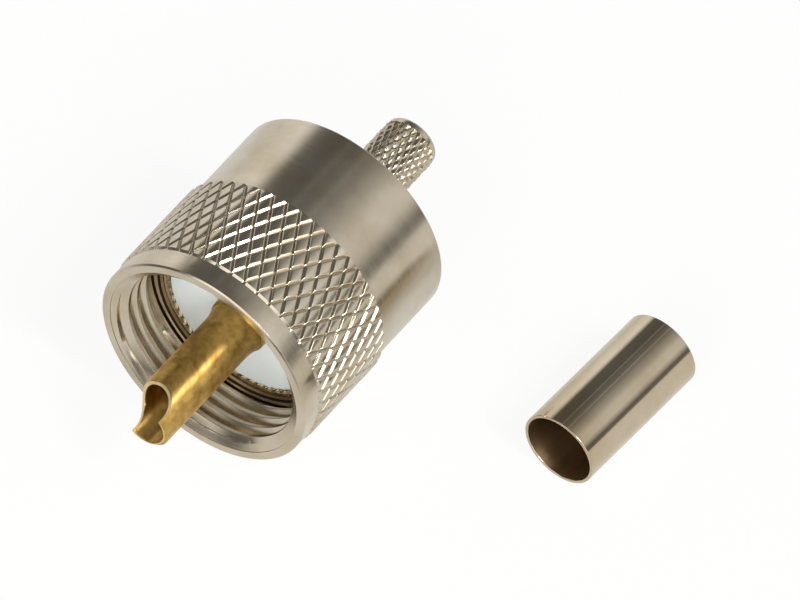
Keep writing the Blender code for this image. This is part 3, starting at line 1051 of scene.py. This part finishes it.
@dataclass
class PlugBody:
    """The body: a flange with a toothed rim, a barrel and a knurled crimp stem.

    Attributes:
        place: Where the plug lies.
        points_round: Number of points in a plain ring.
        teeth: Number of teeth round the rim.
        tooth_depth: Their depth.
        tooth_width: Their width across the rim, from its inner edge.
        tooth_shares: Places across half a tooth, from its tip to its root.
        tooth_drops: How far the tooth has dropped there, as shares of its depth.
        rim_width: Width of the rim round the insulator.
        flange_length: Length of the flange.
        recess_depth: Depth of the insulator's recess behind the teeth.
        barrel_r: Radius of the barrel.
        barrel_bevel: Rounding of its rear edge.
        cavity_r: Radius of the bore in it.
        end_wall: Thickness of the wall between that bore and the stem.
        stem_r: Radius over the stem's knurl.
        stem_length: Length of the stem.
        stem_neck: Length of the plain neck at its root.
        stem_land: Length of the plain land at its end.
        stem_land_relief: How far the land lies below the knurl's crests.
        stem_knurl_depth: Depth of the knurl.
        stem_starts: Number of its grooves each way.
        stem_rows: Number of half diamonds along it.
        stem_groove: Section of its grooves, which are wide and have pointed diamonds between.
        stem_points: Number of points in a plain ring for each of those grooves.
        stem_bore_r: Radius of the cable's bore.
        stem_rounding: Rounding of the stem's end.
        edge: Rounding of every other edge.
    """

    place: PlugPlace
    points_round: int = 360
    teeth: int = 60
    tooth_depth: float = 0.25 * MM
    tooth_width: float = 0.22 * MM
    tooth_shares: tuple[float, ...] = (0.0, 0.12, 0.88, 1.0)
    tooth_drops: tuple[float, ...] = (0.0, 0.06, 0.94, 1.0)
    rim_width: float = 0.50 * MM
    flange_length: float = 3.10 * MM
    recess_depth: float = 2.30 * MM
    barrel_r: float = 5.60 * MM
    barrel_bevel: float = 0.20 * MM
    cavity_r: float = 4.20 * MM
    end_wall: float = 1.60 * MM
    stem_r: float = 2.20 * MM
    stem_length: float = 8.30 * MM
    stem_neck: float = 0.70 * MM
    stem_land: float = 0.62 * MM
    stem_land_relief: float = 0.08 * MM
    stem_knurl_depth: float = 0.17 * MM
    stem_starts: int = 24
    stem_rows: int = 11
    stem_groove: GrooveForm = GrooveForm((0.0, 0.07, 0.25, 0.43, 0.5),
                                         (1.0, 0.92, 0.50, 0.07, 0.0))
    stem_points: int = 8
    stem_bore_r: float = 1.55 * MM
    stem_rounding: float = 0.34 * MM
    edge: float = 0.05 * MM

    def tooth_station(self, tip: float, angles: np.ndarray) -> np.ndarray:
        """Return the rim's stations: each tooth slopes back from its tip to both its roots."""
        share = np.abs((angles / FULL_TURN * self.teeth) % 1.0 - 0.5) * 2
        return tip + self.tooth_depth * np.interp(share, self.tooth_shares, self.tooth_drops)

    def rim(self, skin: Skin, tip: float, flange_r: float) -> None:
        """Carry the skin from the recess over the teeth and the flange's flat face outside them.

        Args:
            skin: The body's skin.
            tip: Station of the teeth's tips and of the face.
            flange_r: Radius of the flange.
        """
        stations = self.tooth_station(tip, skin.angles)
        inner_r = flange_r - self.rim_width
        teeth_r = inner_r + self.tooth_width
        root = tip + self.tooth_depth
        for station, radius in ((root + self.edge, inner_r), (stations + self.edge / 2, inner_r),
                                (stations, inner_r + self.edge / 2),
                                (stations, teeth_r),
                                (tip, teeth_r + self.edge / 2),
                                (tip, flange_r - self.edge),
                                (tip + self.edge, flange_r),
                                (root + 2 * self.edge, flange_r)):
            skin.carry_to(skin.ring(skin.angles, station, radius))

    def stem(self, skin: Skin, start: float, end: float) -> None:
        """Carry the skin along the crimp stem: a neck, pointed diamonds and a rounded land.

        Args:
            skin: The body's skin.
            start: Station of the stem's root.
            end: Station of its end.
        """
        knurl_start = start + self.stem_neck
        knurl_end = end - self.stem_land
        root_r = self.stem_r - self.stem_knurl_depth
        land_r = self.stem_r - self.stem_land_relief
        skin.turn(fillet([(start, root_r + 3 * self.edge, 0.0),
                          (start, root_r - self.edge, self.edge),
                          (knurl_start, root_r - self.edge, 0.0)]))
        skin.knurl(Knurl(knurl_start, knurl_end - knurl_start, 0.0, self.stem_r,
                         self.stem_knurl_depth, self.stem_starts, self.stem_rows,
                         self.stem_groove))
        skin.turn(fillet([(knurl_end, land_r, 0.0),
                          (end, land_r, self.stem_rounding),
                          (end, self.stem_bore_r, self.edge),
                          (start - self.end_wall, self.stem_bore_r, 0.0)], steps=6))

    def make(self, metal: bpy.types.Material) -> None:
        """Build the body and dress it.

        Args:
            metal: Its plate.
        """
        tip, end = self.place.stations("connector_body")
        flange_r = self.place.widest("connector_body")
        barrel_end = end - self.stem_length
        flange_back = tip + self.flange_length
        recess_floor = tip + self.tooth_depth + self.recess_depth
        skin = Skin(self.place.axis, self.points_round)
        self.rim(skin, tip, flange_r)
        skin.turn(fillet([(flange_back - self.edge, flange_r, 0.0),
                          (flange_back, flange_r - self.edge, 0.0),
                          (flange_back, self.barrel_r, self.edge),
                          (barrel_end, self.barrel_r, self.barrel_bevel),
                          (barrel_end, self.stem_r + 4 * self.edge, 0.0)], steps=3))
        skin.angles = even_angles(self.stem_starts * self.stem_points)
        self.stem(skin, barrel_end, end)
        skin.turn([(barrel_end - self.end_wall, self.cavity_r)])
        skin.angles = even_angles(self.points_round)
        skin.turn([(recess_floor, self.cavity_r),
                   (recess_floor, flange_r - self.rim_width)])
        dress(skin.build("toothed_plug_body"), metal, "plug", "connector_body")


@dataclass
class Insulator:
    """The PTFE insulator: a disc inside the toothed rim, with a boss down the barrel.

    Attributes:
        place: Where the plug lies.
        points_round: Number of points in a ring.
        bore_r: Radius of the bore for the pin's shank.
        seat_r: Radius of the seat for the pin's collar.
        seat_depth: Depth of that seat.
        disc_length: Length of the disc.
        boss_r: Radius of the boss.
        edge: Rounding of its edges.
    """

    place: PlugPlace
    points_round: int = 192
    bore_r: float = 1.70 * MM
    seat_r: float = 2.40 * MM
    seat_depth: float = 0.25 * MM
    disc_length: float = 2.40 * MM
    boss_r: float = 4.10 * MM
    edge: float = 0.08 * MM

    def make(self, plastic: bpy.types.Material) -> None:
        """Build the insulator and dress it.

        Args:
            plastic: Its material.
        """
        front, rear = self.place.stations("insulator")
        disc_r = self.place.widest("insulator")
        seat = front + self.seat_depth
        disc_back = front + self.disc_length
        skin = Skin(self.place.axis, self.points_round)
        skin.turn(fillet([(seat, self.bore_r, 0.0),
                          (seat, self.seat_r, 0.0),
                          (front, self.seat_r, self.edge / 2),
                          (front, disc_r, self.edge),
                          (disc_back, disc_r, 0.0),
                          (disc_back, self.boss_r, 0.0),
                          (rear, self.boss_r, self.edge),
                          (rear, self.bore_r, 0.0)]))
        dress(skin.build("turned_insulator"), plastic, "plug", "insulator")


@dataclass
class CentrePin:
    """The hollow centre pin, with a scooped solder cup at its tip and a collar at its root.

    Attributes:
        place: Where the plug lies.
        points_round: Number of points in a plain ring.
        scoop_columns: Number of columns of points on each half of the scooped cut.
        back_columns: Number of columns on the uncut side.
        pin_r: Radius of the pin.
        wall: Thickness of the cup's wall.
        nose: Rounding of the uncut tip.
        lip: Rounding of the cut's edges and of other small edges.
        cup_depth: Depth of the cup.
        cup_middle: How far down the cup, or up from the flare, the ring between lies.
        drill_point: Length of the drill's cone at its floor.
        wire_bore_r: Radius of the bore behind it.
        collar_height: How far the collar stands out from the pin.
        collar_proud: How far its front lies before the insulator.
        collar_seat: How deep it sits in the insulator.
        collar_groove: Width of the groove before it.
        flare_height: How far the pin widens before that groove.
        flare_length: Length over which it does.
        shank_r: Radius of the shank in the insulator.
        scoop_length: Length of the scooped cut.
        scoop_level: Length of the cut's level stretch at the tip.
        scoop_below: How far below the axis the cut reaches.
        scoop_angle: Angle of the open side's middle, from +X towards +Z.
    """

    place: PlugPlace
    points_round: int = 192
    scoop_columns: int = 36
    back_columns: int = 48
    pin_r: float = 2.00 * MM
    wall: float = 0.36 * MM
    nose: float = 0.22 * MM
    lip: float = 0.045 * MM
    cup_depth: float = 6.50 * MM
    cup_middle: float = 0.6
    drill_point: float = 0.50 * MM
    wire_bore_r: float = 0.75 * MM
    collar_height: float = 0.30 * MM
    collar_proud: float = 1.05 * MM
    collar_seat: float = 0.15 * MM
    collar_groove: float = 0.14 * MM
    flare_height: float = 0.18 * MM
    flare_length: float = 1.10 * MM
    shank_r: float = 1.60 * MM
    scoop_length: float = 2.60 * MM
    scoop_level: float = 0.45 * MM
    scoop_below: float = 0.15 * MM
    scoop_angle: float = math.radians(90 + 48)

    def scoop_station(self, tip: float, heights: np.ndarray) -> np.ndarray:
        """Work out where the scooped cut lies.

        Seen from the side the cut is a quarter of an ellipse. It leaves the level stretch a
        little below the axis and ends upright on the pin's far side.

        Args:
            tip: Station of the pin's tip.
            heights: Heights over the axis, towards the open side.

        Returns:
            The station at each height.
        """
        rise = self.pin_r + self.scoop_below
        turn = np.arccos(np.clip((self.pin_r - heights) / rise, -1, 1))
        reach = self.scoop_length - self.scoop_level
        return tip + self.scoop_level + reach * np.sin(turn)

    def column_angles(self, radius: float) -> np.ndarray:
        """Spread the columns of points round the pin, at one radius.

        The cut ends at the angle whose cosine is minus the depth below the axis over the radius.
        Columns are packed closer at the middle and at the ends of the cut by a cosine, and even
        on the uncut side. Both sides keep a column of their own at each end of the cut.

        Args:
            radius: The radius of the wall.

        Returns:
            The columns' angles from the scoop's middle.
        """
        end = math.acos(-self.scoop_below / radius)
        count = self.scoop_columns
        half = (1 - np.cos(math.pi * np.arange(count + 1) / count)) / 2 * end
        cut = np.concatenate((-half[:0:-1], half))
        return np.concatenate((cut, np.linspace(end, FULL_TURN - end, self.back_columns)))

    def cup(self, skin: Skin, tip: float) -> None:
        """Carry the skin from the wire's bore up the cup, over the scooped lip and outside.

        Args:
            skin: The pin's skin.
            tip: Station of the pin's tip.
        """
        cup_r = self.pin_r - self.wall
        cut_count = 2 * self.scoop_columns + 1
        inner, outer = self.column_angles(cup_r), self.column_angles(self.pin_r)
        is_cut = np.arange(len(inner)) < cut_count
        inner_tip = np.where(is_cut, self.scoop_station(tip, cup_r * np.cos(inner)), tip)
        outer_tip = np.where(is_cut, self.scoop_station(tip, self.pin_r * np.cos(outer)), tip)
        nose = np.where(is_cut, self.lip, self.nose)
        floor = tip + self.cup_depth
        flare_start = self.flare_end() - self.flare_length
        inner += self.scoop_angle
        outer += self.scoop_angle
        for angles, stations, radii in (
                (inner, floor + self.drill_point, self.wire_bore_r),
                (inner, floor, cup_r),
                (inner, inner_tip * (1 - self.cup_middle) + floor * self.cup_middle, cup_r),
                (inner, inner_tip + self.lip, cup_r),
                (inner, inner_tip, cup_r + self.lip),
                (outer, outer_tip, self.pin_r - nose),
                (outer, outer_tip + nose, self.pin_r),
                (outer, outer_tip + nose + self.lip, self.pin_r),
                (outer, outer_tip * self.cup_middle + flare_start * (1 - self.cup_middle),
                 self.pin_r),
                (outer, flare_start - 4 * self.lip, self.pin_r)):
            skin.carry_to(skin.ring(angles, stations, radii))
        skin.last = skin.last.in_order()

    def insulator_front(self) -> float:
        """Return the station of the insulator's front face."""
        return self.place.stations("insulator")[0]

    def flare_end(self) -> float:
        """Return the station of the flare's wide end, in front of the collar's groove."""
        return self.insulator_front() - self.collar_proud - self.collar_groove

    def root(self, skin: Skin, end: float) -> None:
        """Carry the skin over the flare, the groove, the collar and the shank.

        The flare's radius grows with the square of the distance along it.

        Args:
            skin: The pin's skin.
            end: Station of the shank's end.
        """
        flare_end = self.flare_end()
        collar_front = self.insulator_front() - self.collar_proud
        collar_back = self.insulator_front() + self.collar_seat
        collar_r = self.pin_r + self.collar_height
        share = np.linspace(0, 1, 9)
        skin.turn(list(zip((flare_end - self.flare_length * (1 - share)).tolist(),
                           (self.pin_r + self.flare_height * share ** 2).tolist())))
        skin.turn(fillet([(flare_end + 0.3 * self.lip, self.pin_r + self.flare_height, 0.0),
                          (flare_end + 0.6 * self.lip, self.pin_r, 0.0),
                          (collar_front, self.pin_r, 0.0),
                          (collar_front, collar_r, 3 * self.lip),
                          (collar_back, collar_r, self.lip),
                          (collar_back, self.shank_r, 0.0),
                          (end, self.shank_r, self.lip),
                          (end, self.wire_bore_r, 0.0)]))

    def make(self, metal: bpy.types.Material, cut: bpy.types.Material) -> None:
        """Build the pin and dress it.

        Args:
            metal: Its plate.
            cut: The paler metal of the cut end of the cup's wall.
        """
        tip, end = self.place.stations("center_pin")
        skin = Skin(self.place.axis, self.points_round)
        self.cup(skin, tip)
        self.root(skin, end)
        skin.first = skin.first.in_order()
        pin = skin.build("scooped_centre_pin")
        dress(pin, metal, "plug", "center_pin")
        wall = (self.pin_r - self.wall + self.lip, self.pin_r - self.lip)
        paint(pin, skin.between((tip, tip + self.scoop_length), wall), cut)


@dataclass
class CrimpFerrule:
    """The crimp ferrule: a thin drawn tube with broken edges, lying beside the plug.

    Attributes:
        points_round: Number of points in a ring.
        wall: Thickness of its wall.
        edge: Rounding of its edges.
        length: Its length.
        yaw: Turn of its axis from +Y towards +X.
    """

    points_round: int = 256
    wall: float = 0.25 * MM
    edge: float = 0.07 * MM
    length: float = 12.10 * MM
    yaw: float = math.radians(2.8)

    def make(self, metal: bpy.types.Material, inside: bpy.types.Material) -> None:
        """Build the ferrule and dress it.

        Its axis is turned by the yaw, and the middle of its length lies in the middle of its
        node's box, so station 0 lies half a length from there, back along the axis.

        Args:
            metal: The plate outside.
            inside: The duller metal of the bore.
        """
        low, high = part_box("crimp_ferrule")
        middle = (low + high) / 2
        radius = (high.z - low.z) / 2
        aside = self.length / 2 * math.sin(self.yaw)
        behind = self.length / 2 * math.cos(self.yaw)
        axis = TurningAxis((middle.x - aside, middle.y - behind, middle.z), self.yaw)
        bore_r = radius - self.wall
        half = self.length / 2
        skin = Skin(axis, self.points_round)
        skin.turn(fillet([(half, bore_r, 0.0),
                          (0.0, bore_r, self.edge),
                          (0.0, radius, self.edge),
                          (self.length, radius, self.edge),
                          (self.length, bore_r, self.edge),
                          (half + self.edge, bore_r, 0.0)]))
        tube = skin.build("drawn_crimp_ferrule")
        dress(tube, metal, "plug", "crimp_ferrule")
        paint(tube, skin.between((0.0, self.length), (bore_r, bore_r)), inside)


@dataclass(frozen=True)
class Panel:
    """A soft-edged panel of the light tent, in directions seen from the plug.

    Attributes:
        turn: Turn of its middle from +Y towards +X, in degrees.
        half_width: Half of its width, in degrees.
        height: Elevation of its middle, in degrees.
        half_height: Half of its height, in degrees.
        level: Its brightness.
        softness: Half width of its blurred edge, in degrees.
    """

    turn: float
    half_width: float
    height: float
    half_height: float
    level: float
    softness: float = 6.0

    def lay_over(self, tree: bpy.types.NodeTree, turn: bpy.types.NodeSocket,
                 height: bpy.types.NodeSocket, under: bpy.types.NodeSocket
                 ) -> bpy.types.NodeSocket:
        """Lay the panel over the tent's brightness so far.

        The panel covers where both the turn and the elevation are nearer to its middle than half
        its size, and both edges fall off smoothly.

        Args:
            tree: The world's tree.
            turn: The direction's turn, in radians.
            height: Its elevation, in radians.
            under: The brightness so far.

        Returns:
            The brightness with the panel.
        """
        covers = []
        for socket, middle, half in ((turn, self.turn, self.half_width),
                                     (height, self.height, self.half_height)):
            apart = add_node(tree, "ShaderNodeMath", {0: socket, 1: math.radians(middle)},
                             operation="SUBTRACT")
            wrapped = add_node(tree, "ShaderNodeMath",
                               {0: apart.outputs[0], 1: math.pi, 2: -math.pi}, operation="WRAP")
            away = add_node(tree, "ShaderNodeMath", {0: wrapped.outputs[0]}, operation="ABSOLUTE")
            cover = add_node(tree, "ShaderNodeMapRange",
                             {"Value": away.outputs[0],
                              "From Min": math.radians(half - self.softness),
                              "From Max": math.radians(half + self.softness),
                              "To Min": 1.0, "To Max": 0.0}, interpolation_type="SMOOTHSTEP")
            covers.append(cover.outputs["Result"])
        both = add_node(tree, "ShaderNodeMath", {0: covers[0], 1: covers[1]},
                        operation="MULTIPLY")
        mixed = add_node(tree, "ShaderNodeMix",
                         {"Factor": both.outputs[0], "A": under, "B": self.level})
        return mixed.outputs["Result"]


@dataclass(frozen=True)
class Studio:
    """The pale floor, the light tent round it and the camera.

    Attributes:
        azimuth: The camera's turn round the upright, in radians.
        elevation: Its angle over the horizon, in radians.
        target: The point in the middle of the picture.
        frame_width: Width of what the picture shows at the target.
        lens_mm: Focal length: a very long one, because the photograph is nearly parallel.
        sensor_mm: Width of the sensor.
        floor_size: Side of the floor.
        floor_colour: The floor's own colour.
        floor_roughness: Its roughness.
        floor_share: How much of the floor's look is plain white, over its shaded colour.
        mirrored_share: The same in reflections.
        floor_dim: The floor's brightness in reflections near the plug, and far in front of it.
        floor_fade: Where in front of the plug, along Y, that brightness falls.
        tent: Stops of the tent's brightness, in degrees from straight up towards +X.
        panels: The panels laid over it: the dark near side, the pale wall over that, the dark
            corner on its left, the dark above, the pale left, the pale back, the lamp and its
            hot middle.
        fill_place: Place of the soft lamp that fills the deep mouth. It isn't mirrored.
        fill_size: Its side.
        fill_watts: Its power.
    """

    azimuth: float = math.radians(35.5)
    elevation: float = math.radians(49.8)
    target: tuple[float, float, float] = (0.97 * MM, 1.58 * MM, 12.0 * MM)
    frame_width: float = 57.14 * MM
    lens_mm: float = 900.0
    sensor_mm: float = 36.0
    floor_size: float = 3.0
    floor_colour: str = "#EFEEEB"
    floor_roughness: float = 0.9
    floor_share: float = 0.9
    mirrored_share: float = 0.66
    floor_dim: tuple[float, float] = (0.76, 0.20)
    floor_fade: tuple[float, float] = (-24 * MM, -34 * MM)
    tent: tuple[Stop, ...] = ((-180, 0.9), (-90, 1.05), (-61, 1.3), (-55, 0.85), (-48, 0.17),
                              (-16, 0.15), (-14.5, 0.55), (-13, 0.17), (3, 0.29), (4.5, 0.85),
                              (6, 0.32), (16, 0.42), (28, 0.58), (44, 0.92), (63, 0.98),
                              (72, 0.60), (79, 0.20), (87, 0.24), (94, 0.80), (180, 0.9))
    panels: tuple[Panel, ...] = (Panel(180, 72, 0, 14, 0.18),
                                 Panel(167, 48, 41, 21, 1.90),
                                 Panel(-125, 16, 22, 32, 0.15),
                                 Panel(0, 180, 90, 29, 0.16),
                                 Panel(-86, 20, 20, 26, 0.90),
                                 Panel(0, 36, 0, 20, 0.80, 4.0),
                                 Panel(101, 20, 28, 28, 3.0, 4.0),
                                 Panel(102, 6, 47, 9, 40.0, 3.0))
    fill_place: tuple[float, float, float] = (52 * MM, -110 * MM, 66 * MM)
    fill_size: float = 50 * MM
    fill_watts: float = 0.06

    def lay_floor(self) -> None:
        """Lay the floor: white to the camera and in reflections, with a trace of the shadow.

        In reflections it fades out in front of the plug, where the lit sheet ends.
        """
        half = self.floor_size / 2
        mesh = bpy.data.meshes.new("floor")
        mesh.from_pydata([(-half, -half, 0), (half, -half, 0), (half, half, 0), (-half, half, 0)],
                         [], [(0, 1, 2, 3)])
        floor = bpy.data.objects.new("floor", mesh)
        bpy.context.scene.collection.objects.link(floor)
        material, tree, shader = new_material("pale_floor")
        material.cycles.emission_sampling = "NONE"
        shader.inputs["Base Color"].default_value = linear(self.floor_colour)
        shader.inputs["Roughness"].default_value = self.floor_roughness
        shader.inputs["Specular IOR Level"].default_value = 0.0
        path = add_node(tree, "ShaderNodeLightPath")
        place = add_node(tree, "ShaderNodeTexCoord")
        parts = add_node(tree, "ShaderNodeSeparateXYZ", {0: place.outputs["Object"]})
        fading = add_node(tree, "ShaderNodeMapRange",
                          {"Value": parts.outputs["Y"], "From Min": self.floor_fade[1],
                           "From Max": self.floor_fade[0], "To Min": self.floor_dim[1],
                           "To Max": self.floor_dim[0]}, interpolation_type="SMOOTHSTEP")
        strength = add_node(tree, "ShaderNodeMath",
                            {0: path.outputs["Is Camera Ray"], 1: fading.outputs["Result"]},
                            operation="MAXIMUM")
        mirrored = add_node(tree, "ShaderNodeMath",
                            {0: path.outputs["Is Glossy Ray"],
                             1: path.outputs["Is Transmission Ray"]}, operation="MAXIMUM")
        dimmed = add_node(tree, "ShaderNodeMath",
                          {0: mirrored.outputs[0], 1: self.mirrored_share}, operation="MULTIPLY")
        share = add_node(tree, "ShaderNodeMath",
                         {0: path.outputs["Is Camera Ray"], 1: self.floor_share,
                          2: dimmed.outputs[0]}, operation="MULTIPLY_ADD")
        white = add_node(tree, "ShaderNodeEmission",
                         {"Color": (1, 1, 1, 1), "Strength": strength.outputs[0]})
        mixed = add_node(tree, "ShaderNodeMixShader",
                         {"Fac": share.outputs[0], 1: shader.outputs[0], 2: white.outputs[0]})
        output = tree.nodes["Material Output"]
        tree.links.new(mixed.outputs[0], output.inputs["Surface"])
        mesh.materials.append(material)

    def pitch_tent(self) -> None:
        """Light the scene with a soft tent whose brightness depends on the direction alone.

        The tent's brightness follows its stops, by the direction's angle from straight up
        towards +X, and the panels are laid over that one after another.
        """
        world = bpy.data.worlds.new("light_tent")
        bpy.context.scene.world = world
        world.use_nodes = True
        tree = world.node_tree
        tree.nodes.clear()
        way = add_node(tree, "ShaderNodeTexCoord")
        parts = add_node(tree, "ShaderNodeSeparateXYZ", {0: way.outputs["Generated"]})
        roll = add_node(tree, "ShaderNodeMath",
                        {0: parts.outputs["X"], 1: parts.outputs["Z"]}, operation="ARCTAN2")
        place = add_node(tree, "ShaderNodeMapRange",
                         {"Value": roll.outputs[0], "From Min": -math.pi, "From Max": math.pi})
        ramp = add_node(tree, "ShaderNodeValToRGB", {"Fac": place.outputs[0]})
        stops = ramp.color_ramp.elements
        for index, (degrees, level) in enumerate(self.tent):
            spot = degrees / 360 + 0.5
            stop = stops[index] if index < 2 else stops.new(spot)
            stop.position = spot
            stop.color = (level, level, level, 1.0)
        turn = add_node(tree, "ShaderNodeMath",
                        {0: parts.outputs["X"], 1: parts.outputs["Y"]}, operation="ARCTAN2")
        height = add_node(tree, "ShaderNodeMath", {0: parts.outputs["Z"]}, operation="ARCSINE")
        level = ramp.outputs["Color"]
        for panel in self.panels:
            level = panel.lay_over(tree, turn.outputs[0], height.outputs[0], level)
        path = add_node(tree, "ShaderNodeLightPath")
        shown = add_node(tree, "ShaderNodeMix",
                         {"Factor": path.outputs["Is Camera Ray"], "A": level, "B": 1.0})
        light = add_node(tree, "ShaderNodeBackground", {"Strength": shown.outputs["Result"]})
        add_node(tree, "ShaderNodeOutputWorld", {"Surface": light.outputs[0]})

    def hang_fill(self) -> None:
        """Hang the soft lamp that looks into the mouth from the front."""
        light = bpy.data.lights.new("fill", "AREA")
        light.size = self.fill_size
        light.energy = self.fill_watts
        lamp = bpy.data.objects.new("fill", light)
        bpy.context.scene.collection.objects.link(lamp)
        lamp.location = self.fill_place
        lamp.rotation_mode = "QUATERNION"
        way = Vector(self.target) - Vector(self.fill_place)
        lamp.rotation_quaternion = way.to_track_quat("-Z", "Y")
        lamp.visible_glossy = False

    def set_camera(self) -> None:
        """Put the camera where the photograph was taken from.

        It looks at the target from so far away that the frame's width fills the sensor: that
        width times the focal length, over the sensor's width.
        """
        lens = bpy.data.cameras.new("camera")
        lens.lens = self.lens_mm
        lens.sensor_width = self.sensor_mm
        camera = bpy.data.objects.new("camera", lens)
        bpy.context.scene.collection.objects.link(camera)
        level = math.cos(self.elevation)
        back = Vector((math.sin(self.azimuth) * level, -math.cos(self.azimuth) * level,
                       math.sin(self.elevation)))
        distance = self.frame_width * self.lens_mm / self.sensor_mm
        camera.location = Vector(self.target) + back * distance
        camera.rotation_mode = "QUATERNION"
        camera.rotation_quaternion = (-back).to_track_quat("-Z", "Y")
        bpy.context.scene.camera = camera

    def set_up(self) -> None:
        """Make the floor, the light and the camera."""
        bpy.context.scene.view_settings.view_transform = "Standard"
        self.lay_floor()
        self.pitch_tent()
        self.hang_fill()
        self.set_camera()


def main() -> None:
    """Build and dress every piece, then set up the studio."""
    logging.basicConfig(level=logging.INFO, format="%(name)s: %(message)s")
    place = PlugPlace.from_frame()
    nickel, dull = BRIGHT_NICKEL.make(), DULL_BORE.make()
    CouplingNut(place).make(nickel, PAINTED_SHADE_CORNER.make(), dull)
    PlugBody(place).make(nickel)
    Insulator(place).make(MILKY_PTFE.make())
    CentrePin(place).make(DULL_GOLD.make(), CUT_GOLD.make())
    CrimpFerrule().make(DRAWN_NICKEL.make(), dull)
    Studio().set_up()


if __name__ == "__main__":
    main()
